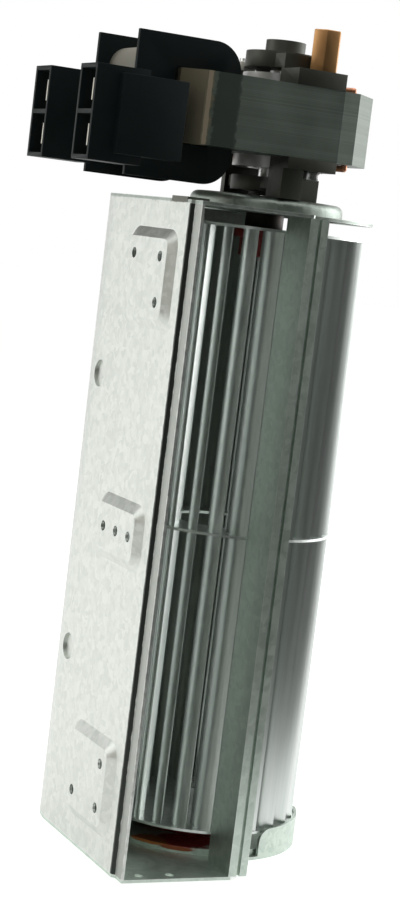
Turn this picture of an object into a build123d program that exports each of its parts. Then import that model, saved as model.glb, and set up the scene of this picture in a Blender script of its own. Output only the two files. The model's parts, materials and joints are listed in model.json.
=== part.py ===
"""Cross flow fan: sheet-metal casing, bladed impeller and shaded-pole motor on top.

Millimetres, +Z up. The impeller axis is the Z axis, the underside of the bearing
end plate is z = 0, and the outlet mouth faces -Y.
"""
from build123d import *
import os
from math import acos, atan2, cos, degrees, hypot, radians, sin, sqrt

os.makedirs("parts", exist_ok=True)

# ---------------------------------------------------------------- impeller
impeller_radius = 32.5
blade_tip_margin = 0.3        # disc rim outside the blade tips
middle_disc_web = 5.0         # middle disc inside the blade roots
blade_inner_radius = 22.8
blade_count = 26
blade_thickness = 0.5
blade_curve_radius = 8.5
blade_lean = 11.0             # degrees by which the tip leads the root
blade_phase = -5.5            # degrees from +X to the root of the first blade
blade_span = 184.4            # between the inner faces of the end discs
middle_drop = 0.5             # middle disc below the halfway level
disc_thickness = 0.8
end_gap = 7.0                 # bearing end plate to the lower disc
motor_gap = 4.3               # upper disc to the motor end plate

# ---------------------------------------------------------------- casing
sheet = 0.8
plate = 1.0
wall_distance = 46.4          # axis to the outside of the flat wall
flat_wall_back = 10.0         # where the flat wall starts to curve
bend_radius = 26.0
bend_angle = 50.0
scroll_radius = 44.7
scroll_angle = 78.3
joggle_front = 44.4
joggle_step = 0.9
joggle_run = 0.9
mouth_front = 50.2            # axis to the mouth plane
tongue_gap = 3.8              # impeller to the tip of the tongue
tongue_angle = 106.2          # tip direction, degrees clockwise from +X
lip_x = -10.5
lip_width = 6.1
lip_groove_width = 1.1
lip_groove_depth = 1.3
lip_groove_at = 2.6
lip_return = 9.0
tip_return = 4.5
plate_round_radius = 33.8     # end plates on the inlet side

# tab of the flat wall folded over the motor end plate
tab_back = 31.0
tab_front = 41.6
tab_reach = 7.0
tab_notch = 0.3

# pads pressed outwards in the flat wall, for fastening the fan
pad_height = 2.0
pad_ramp = 3.0
pad_corner = 5.5
pad_front = 39.0
pad_back = 5.5
pad_tall = 29.5
pad_middle_tall = 20.0
pad_top_margin = 8.0         # casing edge to the pad
pad_hole_radius = 1.6
pad_hole_front = 31.6
pad_row_margin = 8.1          # pad edge to its row of holes
pad_row_pitch = 18.8
pad_column_pitch = 13.5
middle_hole_pitch = 9.4
dimple_radius = 4.2
dimple_depth = 1.0
dimple_y = 7.6
dimple_spacing = 86.4

# platform that carries the motor, raised on the upper plate
platform_radius = 24.0
platform_height = 4.2
platform_round = 2.4
platform_bore = 8.5

# lower plate: raised floor below the impeller, rim round the inlet side
floor_radius = 32.0
floor_height = 2.0
rim_height = 8.5
rim_round = 4.0
rim_start = -76.0
rim_sweep = 66.0
mouth_hole_radius = 1.3
mouth_hole_pitch = 10.0
mouth_hole_edge = 3.4
mouth_hole_inset = 7.0          # first mouth hole from the flat wall

# ---------------------------------------------------------------- motor
stack_height = 21.6
bracket_height = 12.5         # platform to the lamination stack
frame_half = 25.6
frame_right = 25.0
frame_left = 42.6
frame_chamfer = 10.3
frame_face_right = 9.0
corner_drop = 0.8
arm_end = 1.6                 # flat end of an arm before its chamfer
arm_chamfer = 5.6
arm_taper = 0.8
arm_slope = 16.0
leg_width = 12.0
arm_width = 9.0
window_right = 17.5
bore_radius = 13.0
air_gap = 0.4
shaft_radius = 2.5
running_gap = 0.04
ring_wire_radius = 1.0
ring_slot_gap = 0.1
ring_inner = (11.9, 9.4)      # slot beside the bore, mirrored for the second ring
ring_outer = (15.6, 18.4)
bolt_x = 3.4
bolt_y = 20.0
bolt_radius = 2.0
bolt_head_radius = 3.5
bolt_head_height = 2.6
foot_thickness = 4.9          # upper feet
lower_foot_thickness = 3.4
foot_inner_y = 14.0
foot_overhang = 0.4           # feet past the side of the frame
foot_left = 7.7
foot_right = 8.8
post_right = -0.5
post_inner_y = 13.6
post_inset = 2.4              # front of a post behind the side of the frame
post_back_inset = 9.4         # its wider back part, clear of the bolt head
mount_screw_x = 4.6
mount_screw_y = 17.0
mount_screw_radius = 1.7
mount_screw_reach = 7.0
mount_head_radius = 3.2
mount_head_height = 2.4
slot_width = 0.9              # driver slots in the bolt and screw heads
slot_depth = 1.7
leg_thickness = 1.8
leg_right = 1.6
bridge_step = 0.8
housing_radius = 12.0
housing_height = 5.0
housing_gap_low = 1.6         # platform to the lower bearing housing
housing_gap_high = 0.4        # upper feet to the upper bearing housing
boss_radius = 6.2
boss_height = 4.0
bearing_radius = 4.6
bearing_length = 5.4
bearing_lip = 0.8
standoff_flat = 8.0
standoff_height = 12.6
standoff_thread_radius = 1.65
standoff_thread_depth = 8.0
nut_flat = 7.0
nut_height = 3.2
cage_height = 3.6
cage_inner_radius = 7.5
cage_inset = 0.4
spacer_radius = 3.9
spacer_gap = 0.3

# ---------------------------------------------------------------- coil
bobbin_left = 56.0
bobbin_right = 22.0
bobbin_below = 11.3           # flange below the stack
bobbin_above = 9.5
flange_thickness = 1.6
flange_corner = 9.0
flange_gap = 0.4              # flange to the stator arm
core_gap = 0.3
core_wall = 1.2
winding_left = 52.0
winding_right = 23.4
winding_below = 6.6
winding_above = 6.0
winding_corner = 6.0
tape_thickness = 0.5
housing_left = 71.6
housing_low = 8.7             # terminal housings below the stack
housing_front = 25.0
housing_back = 12.0
housing_tall = 27.5
housing_wall = 1.3
pocket_depth = 12.0
cover_left = 64.2
cover_right = 43.6
cover_front = 27.8
cover_rise = 2.6              # cover above the floor of the housings
cover_tall = 23.0
tab_width = 6.3
tab_thickness = 0.8
tab_length = 9.8
tab_hole_radius = 0.9

# ---------------------------------------------------------------- hubs and end bearing
hub_radius = 7.0
hub_flange_radius = 9.0
hub_flange = 2.5
hub_length = 8.2
hub_neck_radius = 5.0
collar_radius = 6.0
collar_length = 7.0
end_hub_radius = 6.5
end_hub_length = 6.0
rubber_bore = 12.0            # hole in the lower plate
rubber_flange_radius = 19.0
rubber_under_radius = 15.0
rubber_under = 1.5
rubber_flange = 2.0
rubber_boss_radius = 9.0
rubber_boss_height = 1.9
end_bearing_radius = 5.0
end_bearing_length = 6.2
end_washer = 1.0
end_washer_radius = 4.8

# ---------------------------------------------------------------- levels
disc_low = plate + end_gap
blades_low = disc_low + disc_thickness
blades_high = blades_low + blade_span
disc_high = blades_high + disc_thickness
plate_high = disc_high + motor_gap
casing_height = plate_high - plate
middle_level = (blades_low + blades_high) / 2 - middle_drop
platform_top = plate_high + plate + platform_height
stack_low = platform_top + bracket_height
stack_high = stack_low + stack_height
foot_top = stack_high + foot_thickness
foot_outer_y = frame_half + foot_overhang
post_outer_y = frame_half - post_inset
post_back_y = frame_half - post_back_inset
body_low = platform_top + housing_gap_low
upper_low = foot_top + housing_gap_high
wall_x = -wall_distance
mouth_x = wall_x + joggle_step
blade_tip = impeller_radius - blade_tip_margin


def scroll_lines(inset):
    """Casing outline from the mouth to the inlet edge, inset by the sheet thickness."""
    front = Line((mouth_x + inset, -mouth_front), (mouth_x + inset, -joggle_front - joggle_run))
    joggle = Line(front @ 1, (wall_x + inset, -joggle_front))
    flat = Line(joggle @ 1, (wall_x + inset, flat_wall_back))
    bend = JernArc(flat @ 1, (0, 1), bend_radius - inset, -bend_angle)
    return JernArc(bend @ 1, bend % 1, scroll_radius - inset, -scroll_angle)


def pad_loft(x_start, y_mid, z_mid, wide, tall):
    """Solid of one pressed pad, from a plane facing -X outwards."""
    with BuildPart(mode=Mode.PRIVATE) as pad:
        with BuildSketch(Plane((x_start, y_mid, z_mid), x_dir=(0, -1, 0), z_dir=(-1, 0, 0))):
            RectangleRounded(wide, tall, pad_corner)
        with BuildSketch(Plane((x_start - pad_height, y_mid, z_mid), x_dir=(0, -1, 0), z_dir=(-1, 0, 0))):
            RectangleRounded(wide - 2 * pad_ramp, tall - 2 * pad_ramp, pad_corner - pad_ramp)
        loft()
    return pad.part


# ================================================================ casing
pad_wide = pad_front - pad_back
pad_y = -(pad_front + pad_back) / 2
pad_centres = [
    (plate_high - pad_top_margin - pad_tall / 2, pad_tall),
    (middle_level - 1.0, pad_middle_tall),
    (plate + pad_top_margin + pad_tall / 2, pad_tall),
]
row_high = plate_high - pad_top_margin - pad_row_margin
row_low = plate + pad_top_margin + pad_row_margin
pad_holes = [
    (-pad_hole_front, row_high),
    (-pad_hole_front + pad_row_pitch, row_high),
    (-pad_hole_front, row_high - pad_column_pitch),
    (-pad_hole_front, row_low),
    (-pad_hole_front + pad_row_pitch, row_low),
    (-pad_hole_front, row_low + pad_column_pitch),
    (-pad_hole_front - 0.6, middle_level - 1.0),
    (-pad_hole_front - 0.6 + middle_hole_pitch, middle_level - 1.0),
    (-pad_hole_front - 0.6 + 2 * middle_hole_pitch, middle_level - 1.0),
]

with BuildPart() as scroll_casing:
    with BuildSketch(Plane.XY.offset(plate)):
        with BuildLine():
            outside = scroll_lines(0)
            inside = scroll_lines(sheet)
            Line(outside @ 1, inside @ 1)
            Line((mouth_x, -mouth_front), (mouth_x + sheet, -mouth_front))
        make_face()
    extrude(amount=casing_height)
    for level, tall in pad_centres:
        add(pad_loft(wall_x, pad_y, level, pad_wide, tall))
        add(pad_loft(wall_x + sheet, pad_y, level, pad_wide - sheet, tall - sheet), mode=Mode.SUBTRACT)
    for side in (-1, 1):
        with Locations(Plane((wall_x, dimple_y, middle_level + side * dimple_spacing / 2), z_dir=(1, 0, 0))):
            Cylinder(
                dimple_radius + sheet,
                sheet + dimple_depth,
                align=(Align.CENTER, Align.CENTER, Align.MIN),
            )
            Cylinder(dimple_radius, 2 * dimple_depth, mode=Mode.SUBTRACT)
    with BuildSketch(Plane((wall_x + sheet, 0, 0), x_dir=(0, 1, 0), z_dir=(1, 0, 0))):
        with Locations(pad_holes):
            Circle(pad_hole_radius)
    extrude(amount=-(sheet + pad_height + 1), mode=Mode.SUBTRACT)
    for low, right in ((plate_high, sheet), (plate_high + plate, tab_reach)):
        with Locations((wall_x, -tab_front, low)):
            Box(
                right,
                tab_front - tab_back,
                plate_high + plate + sheet - low,
                align=(Align.MIN, Align.MIN, Align.MIN),
            )
scroll_casing.part.label = "scroll_casing"

tip_distance = impeller_radius + tongue_gap
tip_x = tip_distance * cos(radians(-tongue_angle))
tip_y = tip_distance * sin(radians(-tongue_angle))
groove_x = lip_x + lip_groove_at
lip_end = lip_x + lip_width
with BuildPart() as tongue_wall:
    with BuildSketch(Plane.XY.offset(plate)):
        with BuildLine():
            Polyline(
                (tip_x + tip_return, tip_y - 1.6),
                (tip_x + sheet, tip_y),
                (tip_x, tip_y),
                (lip_x, -mouth_front),
                (groove_x, -mouth_front),
                (groove_x, -mouth_front + lip_groove_depth),
                (groove_x + lip_groove_width, -mouth_front + lip_groove_depth),
                (groove_x + lip_groove_width, -mouth_front),
                (lip_end, -mouth_front),
                (lip_end, -mouth_front + lip_return),
                (lip_end - sheet, -mouth_front + lip_return),
                (lip_end - sheet, -mouth_front + sheet),
                (groove_x + lip_groove_width + sheet, -mouth_front + sheet),
                (groove_x + lip_groove_width + sheet, -mouth_front + lip_groove_depth + sheet),
                (groove_x - sheet, -mouth_front + lip_groove_depth + sheet),
                (groove_x - sheet, -mouth_front + sheet),
                (lip_x + sheet, -mouth_front + sheet),
                (tip_x + sheet, tip_y - sheet - 0.6),
                (tip_x + tip_return, tip_y - 1.6 - sheet),
                close=True,
            )
        make_face()
    extrude(amount=casing_height)
tongue_wall.part.label = "tongue_wall"


# plan outline shared by the two end plates
with BuildSketch() as plate_outline:
    with BuildLine():
        edge = scroll_lines(0)
        Polyline(
            edge @ 1,
            (0, 0),
            (lip_end, -mouth_front + lip_return),
            (lip_x + sheet, -mouth_front + lip_return / 2),
            (lip_x + sheet, -mouth_front),
            (mouth_x, -mouth_front),
        )
    make_face()
    Circle(plate_round_radius)

with BuildPart() as bearing_end_plate:
    extrude(plate_outline.sketch, amount=plate)
    with BuildSketch(Plane.XY.offset(plate)):
        Circle(floor_radius)
    extrude(amount=floor_height)
    with BuildSketch():
        Circle(floor_radius - plate)
    extrude(amount=floor_height, mode=Mode.SUBTRACT)
    with BuildSketch(Plane.XY.offset(plate)):
        with BuildLine():
            CenterArc((0, 0), plate_round_radius, rim_start, rim_sweep)
            CenterArc((0, 0), plate_round_radius - plate, rim_start, rim_sweep)
            for angle in (rim_start, rim_start + rim_sweep):
                ray = (cos(radians(angle)), sin(radians(angle)))
                Line(
                    (ray[0] * (plate_round_radius - plate), ray[1] * (plate_round_radius - plate)),
                    (ray[0] * plate_round_radius, ray[1] * plate_round_radius),
                )
        make_face()
    extrude(amount=rim_height)
    fillet(bearing_end_plate.edges().filter_by(GeomType.LINE).group_by(Axis.Z)[-1], rim_round)
    with BuildSketch():
        Circle(rubber_bore)
        with Locations((mouth_x + mouth_hole_inset, -mouth_front + mouth_hole_edge)):
            Circle(mouth_hole_radius)
        with Locations((mouth_x + mouth_hole_inset + mouth_hole_pitch, -mouth_front + mouth_hole_edge)):
            Circle(mouth_hole_radius)
    extrude(amount=plate + floor_height, mode=Mode.SUBTRACT)
bearing_end_plate.part.label = "bearing_end_plate"

with BuildPart() as motor_end_plate:
    extrude(Pos(0, 0, plate_high) * plate_outline.sketch, amount=plate)
    with BuildSketch(Plane.XY.offset(plate_high)):
        Circle(platform_radius)
    extrude(amount=plate + platform_height)
    fillet(motor_end_plate.edges().filter_by(GeomType.CIRCLE).group_by(Axis.Z)[-1], platform_round)
    with BuildSketch(Plane.XY.offset(plate_high)):
        Circle(platform_radius - plate)
    extrude(amount=platform_height, mode=Mode.SUBTRACT)
    with BuildSketch(Plane.XY.offset(plate_high)):
        Circle(platform_bore)
        with Locations((-mount_screw_x, -mount_screw_y), (mount_screw_x, mount_screw_y)):
            Circle(mount_screw_radius)
    extrude(amount=platform_height + plate, mode=Mode.SUBTRACT)
    with Locations((wall_x, -tab_front - tab_notch, plate_high)):
        Box(
            2 * (sheet + tab_notch),
            tab_front - tab_back + 2 * tab_notch,
            3 * plate,
            align=(Align.CENTER, Align.MIN, Align.CENTER),
            mode=Mode.SUBTRACT,
        )
motor_end_plate.part.label = "motor_end_plate"

# ================================================================ impeller
root = (blade_inner_radius, 0.0)
lean = radians(blade_lean)
tip = (blade_tip * cos(lean), blade_tip * sin(lean))
chord = hypot(tip[0] - root[0], tip[1] - root[1])
sag = sqrt(blade_curve_radius**2 - (chord / 2) ** 2)
along = ((tip[0] - root[0]) / chord, (tip[1] - root[1]) / chord)
blade_centre = (
    (root[0] + tip[0]) / 2 - along[1] * sag,
    (root[1] + tip[1]) / 2 + along[0] * sag,
)
root_angle = degrees(atan2(root[1] - blade_centre[1], root[0] - blade_centre[0]))
tip_angle = degrees(atan2(tip[1] - blade_centre[1], tip[0] - blade_centre[0]))
outer_curve = blade_curve_radius + blade_thickness / 2
inner_curve = blade_curve_radius - blade_thickness / 2


with BuildSketch() as blade_section:
    with BuildLine():
        convex = CenterArc(blade_centre, outer_curve, root_angle, tip_angle - root_angle)
        concave = CenterArc(blade_centre, inner_curve, root_angle, tip_angle - root_angle)
        Line(convex @ 0, concave @ 0)
        Line(convex @ 1, concave @ 1)
    make_face()

with BuildPart() as impeller_blades:
    with BuildSketch(Plane.XY.offset(blades_low)):
        with PolarLocations(0, blade_count, start_angle=blade_phase):
            add(blade_section.sketch)
    extrude(amount=blade_span)
impeller_blades.part.label = "impeller_blades"

with BuildPart() as impeller_middle_disc:
    with BuildSketch(Plane.XY.offset(middle_level - disc_thickness / 2)):
        Circle(impeller_radius)
        Circle(blade_inner_radius - middle_disc_web, mode=Mode.SUBTRACT)
    extrude(amount=disc_thickness)
    add(impeller_blades.part, mode=Mode.SUBTRACT)
impeller_middle_disc.part.label = "impeller_middle_disc"

with BuildPart() as impeller_motor_disc:
    with BuildSketch(Plane.XY.offset(blades_high)):
        Circle(impeller_radius)
        Circle(hub_neck_radius, mode=Mode.SUBTRACT)
    extrude(amount=disc_thickness)
impeller_motor_disc.part.label = "impeller_motor_disc"

with BuildPart() as impeller_bearing_disc:
    with BuildSketch(Plane.XY.offset(disc_low)):
        Circle(impeller_radius)
        Circle(shaft_radius, mode=Mode.SUBTRACT)
    extrude(amount=disc_thickness)
impeller_bearing_disc.part.label = "impeller_bearing_disc"

with BuildPart() as rubber_hub:
    with BuildSketch(Plane.XZ):
        with BuildLine():
            Polyline(
                (shaft_radius, blades_high - hub_length),
                (hub_radius, blades_high - hub_length),
                (hub_radius, blades_high - hub_flange),
                (hub_flange_radius, blades_high - hub_flange),
                (hub_flange_radius, blades_high),
                (hub_neck_radius, blades_high),
                (hub_neck_radius, disc_high),
                (shaft_radius, disc_high),
                close=True,
            )
        make_face()
    revolve(axis=Axis.Z)
rubber_hub.part.label = "rubber_hub"

with BuildPart() as hub_collar:
    with BuildSketch(Plane.XY.offset(disc_high)):
        Circle(collar_radius)
        Circle(shaft_radius, mode=Mode.SUBTRACT)
    extrude(amount=collar_length)
    chamfer(hub_collar.edges().filter_by(GeomType.CIRCLE).group_by(Axis.Z)[-1].sort_by(SortBy.RADIUS)[-1], 0.6)
hub_collar.part.label = "hub_collar"

shaft_low = blades_high - hub_length
shaft_high = upper_low + housing_height + boss_height - 1.5
with BuildPart() as motor_shaft:
    with BuildSketch(Plane.XY.offset(shaft_low)):
        Circle(shaft_radius)
    extrude(amount=shaft_high - shaft_low)
    chamfer(motor_shaft.edges().filter_by(GeomType.CIRCLE), 0.4)
motor_shaft.part.label = "motor_shaft"

rotor_radius = bore_radius - air_gap
with BuildPart() as rotor_core:
    with BuildSketch(Plane.XY.offset(stack_low)):
        Circle(rotor_radius)
        Circle(shaft_radius, mode=Mode.SUBTRACT)
    extrude(amount=stack_height)
rotor_core.part.label = "rotor_core"

with BuildPart() as rotor_cage:
    for level in (stack_low - cage_height, stack_high):
        with BuildSketch(Plane.XY.offset(level)):
            Circle(rotor_radius - cage_inset)
            Circle(cage_inner_radius, mode=Mode.SUBTRACT)
        extrude(amount=cage_height)
rotor_cage.part.label = "rotor_cage"

# ================================================================ lower end
stub_low = plate
washer_low = disc_low - end_washer
with BuildPart() as stub_shaft:
    with BuildSketch(Plane.XY.offset(stub_low)):
        Circle(shaft_radius)
    extrude(amount=blades_low + end_hub_length - stub_low)
    chamfer(stub_shaft.edges().filter_by(GeomType.CIRCLE), 0.3)
stub_shaft.part.label = "stub_shaft"

with BuildPart() as end_hub:
    with BuildSketch(Plane.XY.offset(blades_low)):
        Circle(end_hub_radius)
        Circle(shaft_radius, mode=Mode.SUBTRACT)
    extrude(amount=end_hub_length)
end_hub.part.label = "end_hub"

with BuildPart() as end_washer_ring:
    with BuildSketch(Plane.XY.offset(washer_low)):
        Circle(end_washer_radius)
        Circle(shaft_radius, mode=Mode.SUBTRACT)
    extrude(amount=end_washer)
end_washer_ring.part.label = "end_washer"

floor_top = plate + floor_height
bearing_top = washer_low - spacer_gap
with BuildPart() as end_bearing_rubber:
    with BuildSketch(Plane.XZ):
        with BuildLine():
            Polyline(
                (end_bearing_radius, floor_height - rubber_under),
                (rubber_under_radius, floor_height - rubber_under),
                (rubber_under_radius, floor_height),
                (rubber_bore, floor_height),
                (rubber_bore, floor_top),
                (rubber_flange_radius, floor_top),
                (rubber_flange_radius, floor_top + rubber_flange),
                (rubber_boss_radius, floor_top + rubber_flange),
                (rubber_boss_radius, floor_top + rubber_flange + rubber_boss_height),
                (end_bearing_radius, floor_top + rubber_flange + rubber_boss_height),
                close=True,
            )
        make_face()
    revolve(axis=Axis.Z)
end_bearing_rubber.part.label = "end_bearing_rubber"

with BuildPart() as end_bearing:
    with BuildSketch(Plane.XY.offset(bearing_top - end_bearing_length)):
        Circle(end_bearing_radius)
        Circle(shaft_radius + running_gap, mode=Mode.SUBTRACT)
    extrude(amount=end_bearing_length)
end_bearing.part.label = "end_bearing"

# ================================================================ stator
corner_y = frame_half - corner_drop


leg_left = -frame_left
core_leg_right = leg_left + leg_width
arm_inner = frame_half - arm_width
with BuildPart() as stator_frame:
    with BuildSketch(Plane.XY.offset(stack_low)):
        with BuildLine():
            Polyline(
                (leg_left, arm_inner),
                (leg_left, arm_inner + arm_end),
                (leg_left + arm_chamfer, frame_half - arm_taper),
                (leg_left + arm_slope, frame_half),
                (frame_face_right, frame_half),
                (frame_right - frame_chamfer, corner_y),
                (frame_right, corner_y - frame_chamfer),
                (frame_right, -corner_y + frame_chamfer),
                (frame_right - frame_chamfer, -corner_y),
                (frame_face_right, -frame_half),
                (leg_left + arm_slope, -frame_half),
                (leg_left + arm_chamfer, -frame_half + arm_taper),
                (leg_left, -arm_inner - arm_end),
                (leg_left, -arm_inner),
                (-window_right, -arm_inner),
                (-window_right, arm_inner),
                close=True,
            )
        make_face()
        Circle(bore_radius, mode=Mode.SUBTRACT)
        with Locations((-bolt_x, bolt_y), (bolt_x, -bolt_y)):
            Circle(bolt_radius + 0.2, mode=Mode.SUBTRACT)
        for turn in (-1, 1):
            slots = [
                (-turn * ring_inner[0], turn * ring_inner[1]),
                (-turn * ring_outer[0], turn * ring_outer[1]),
            ]
            with Locations(slots):
                Circle(ring_wire_radius + ring_slot_gap, mode=Mode.SUBTRACT)
    extrude(amount=stack_height)
stator_frame.part.label = "stator_frame"

with BuildPart() as stator_leg:
    with BuildSketch(Plane.XY.offset(stack_low)):
        with Locations((leg_left + leg_width / 2, 0)):
            Rectangle(leg_width, 2 * arm_inner)
    extrude(amount=stack_height)
stator_leg.part.label = "stator_leg"

with BuildPart() as shading_rings:
    for turn in (-1, 1):
        start = Vector(-turn * ring_inner[0], turn * ring_inner[1])
        end = Vector(-turn * ring_outer[0], turn * ring_outer[1])
        low = stack_low - ring_wire_radius - ring_slot_gap
        high = stack_high + ring_wire_radius + ring_slot_gap
        for spot in (start, end):
            with Locations((spot.X, spot.Y, low)):
                Cylinder(ring_wire_radius, high - low, align=(Align.CENTER, Align.CENTER, Align.MIN))
        for level in (low, high):
            with Locations((start.X, start.Y, level), (end.X, end.Y, level)):
                Sphere(ring_wire_radius)
            bar = Plane(origin=(start.X, start.Y, level), z_dir=(end.X - start.X, end.Y - start.Y, 0))
            with BuildSketch(bar):
                Circle(ring_wire_radius)
            extrude(amount=(end - start).length)
shading_rings.part.label = "shading_rings"

# ================================================================ coil
flange_face = arm_inner - flange_gap
flange_inner = flange_face - flange_thickness
bobbin_low = stack_low - bobbin_below
bobbin_high = stack_high + bobbin_above
core_left = leg_left - core_gap - core_wall
core_right = core_leg_right + core_gap + core_wall
core_low = stack_low - core_gap - core_wall
core_high = stack_high + core_gap + core_wall


def xz_rectangle(x0, x1, z0, z1, corner=0.0):
    """Rectangle in the XZ plane, given by its edges."""
    with Locations(((x0 + x1) / 2, (z0 + z1) / 2)):
        if corner:
            RectangleRounded(x1 - x0, z1 - z0, corner)
        else:
            Rectangle(x1 - x0, z1 - z0)


def block(x0, x1, y0, y1, z0, z1, mode=Mode.ADD):
    """Box given by its limits."""
    with Locations(((x0 + x1) / 2, (y0 + y1) / 2, (z0 + z1) / 2)):
        Box(x1 - x0, y1 - y0, z1 - z0, mode=mode)


pocket_tall = (housing_tall - 3 * housing_wall) / 2
housing_floor = stack_low - housing_low
pocket_levels = [housing_floor + housing_wall, housing_floor + 2 * housing_wall + pocket_tall]
cover_low = housing_floor + cover_rise
with BuildPart() as coil_bobbin:
    for side in (-1, 1):
        with BuildSketch(Plane.XZ.offset(-side * flange_inner)):
            xz_rectangle(-bobbin_left, -bobbin_right, bobbin_low, bobbin_high, flange_corner)
            xz_rectangle(-bobbin_left, -bobbin_left + 2 * flange_corner, bobbin_low, bobbin_high)
        extrude(amount=-side * flange_thickness)
    with BuildSketch(Plane.XZ.offset(-flange_inner)):
        xz_rectangle(core_left, core_right, core_low, core_high)
    extrude(amount=2 * flange_inner)
    for side in (-1, 1):
        block(
            -housing_left,
            -bobbin_left + 1.0,
            min(side * housing_front, side * housing_back),
            max(side * housing_front, side * housing_back),
            housing_floor,
            housing_floor + housing_tall,
        )
        block(
            -cover_left,
            -cover_right,
            min(side * cover_front, side * flange_inner),
            max(side * cover_front, side * flange_inner),
            cover_low,
            cover_low + cover_tall,
        )
        for level in pocket_levels:
            block(
                -housing_left,
                -housing_left + pocket_depth,
                min(side * (housing_front - housing_wall), side * (housing_back + housing_wall)),
                max(side * (housing_front - housing_wall), side * (housing_back + housing_wall)),
                level,
                level + pocket_tall,
                mode=Mode.SUBTRACT,
            )
    block(
        leg_left - core_gap,
        core_leg_right + core_gap,
        -cover_front,
        cover_front,
        stack_low - core_gap,
        stack_high + core_gap,
        mode=Mode.SUBTRACT,
    )
coil_bobbin.part.label = "coil_bobbin"

with BuildPart() as coil_winding:
    with BuildSketch(Plane.XZ.offset(-flange_inner)):
        xz_rectangle(
            -winding_left + tape_thickness,
            -winding_right - tape_thickness,
            stack_low - winding_below + tape_thickness,
            stack_high + winding_above - tape_thickness,
            winding_corner - tape_thickness,
        )
    extrude(amount=2 * flange_inner)
    with BuildSketch(Plane.XZ.offset(-flange_inner)):
        xz_rectangle(core_left, core_right, core_low, core_high)
    extrude(amount=2 * flange_inner, mode=Mode.SUBTRACT)
coil_winding.part.label = "coil_winding"

with BuildPart() as coil_tape:
    with BuildSketch(Plane.XZ.offset(-flange_inner)):
        xz_rectangle(
            -winding_left,
            -winding_right,
            stack_low - winding_below,
            stack_high + winding_above,
            winding_corner,
        )
    extrude(amount=2 * flange_inner)
    with BuildSketch(Plane.XZ.offset(-flange_inner)):
        xz_rectangle(
            -winding_left + tape_thickness,
            -winding_right - tape_thickness,
            stack_low - winding_below + tape_thickness,
            stack_high + winding_above - tape_thickness,
            winding_corner - tape_thickness,
        )
    extrude(amount=2 * flange_inner, mode=Mode.SUBTRACT)
coil_tape.part.label = "coil_tape"

pocket_back = -housing_left + pocket_depth
pocket_mid = (housing_front + housing_back) / 2
with BuildPart() as spade_terminals:
    for side in (-1, 1):
        for level in pocket_levels:
            middle = level + pocket_tall / 2
            block(
                pocket_back - tab_length,
                pocket_back,
                side * pocket_mid - tab_thickness / 2,
                side * pocket_mid + tab_thickness / 2,
                middle - tab_width / 2,
                middle + tab_width / 2,
            )
            with Locations(Plane((pocket_back - tab_length + 3.2, side * pocket_mid, middle), z_dir=(0, 1, 0))):
                Cylinder(tab_hole_radius, 2 * tab_thickness, mode=Mode.SUBTRACT)
spade_terminals.part.label = "spade_terminals"

# ================================================================ brackets
def mirrored_block(side, x0, x1, y0, y1, z0, z1):
    """Box given for the -Y side; the +Y side is turned half round the axis."""
    xs = sorted((-side * x0, -side * x1))
    ys = sorted((side * y0, side * y1))
    block(xs[0], xs[1], ys[0], ys[1], z0, z1)


lower_foot_low = stack_low - lower_foot_thickness
body_high = body_low + housing_height - 0.5
with BuildPart() as lower_bracket:
    for side in (-1, 1):
        mirrored_block(side, -foot_left, foot_right, foot_inner_y, foot_outer_y, lower_foot_low, stack_low)
        mirrored_block(side, -foot_left, post_right, post_inner_y, post_outer_y, platform_top, lower_foot_low)
        mirrored_block(side, -foot_left, foot_right, post_inner_y, post_back_y, platform_top, lower_foot_low)
    block(-foot_left, foot_left, -post_inner_y - 1, post_inner_y + 1, body_low + 1.0, body_high)
    with Locations((0, 0, body_low)):
        Cylinder(housing_radius, body_high - body_low, align=(Align.CENTER, Align.CENTER, Align.MIN))
    with Locations((0, 0, platform_top + 0.6)):
        Cylinder(
            boss_radius,
            body_low - platform_top,
            align=(Align.CENTER, Align.CENTER, Align.MIN),
        )
    with Locations((0, 0, platform_top + 0.6)):
        Cylinder(
            bearing_radius,
            stack_low - platform_top,
            align=(Align.CENTER, Align.CENTER, Align.MIN),
            mode=Mode.SUBTRACT,
        )
    with Locations((bolt_x, -bolt_y, platform_top), (-bolt_x, bolt_y, platform_top)):
        Cylinder(
            bolt_head_radius + 0.3,
            lower_foot_low - platform_top,
            align=(Align.CENTER, Align.CENTER, Align.MIN),
            mode=Mode.SUBTRACT,
        )
        Cylinder(
            bolt_radius + 0.2,
            stack_low - platform_top,
            align=(Align.CENTER, Align.CENTER, Align.MIN),
            mode=Mode.SUBTRACT,
        )
    with Locations((-mount_screw_x, -mount_screw_y, platform_top), (mount_screw_x, mount_screw_y, platform_top)):
        Cylinder(
            mount_screw_radius,
            mount_screw_reach,
            align=(Align.CENTER, Align.CENTER, Align.MIN),
            mode=Mode.SUBTRACT,
        )
lower_bracket.part.label = "lower_bracket"

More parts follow.
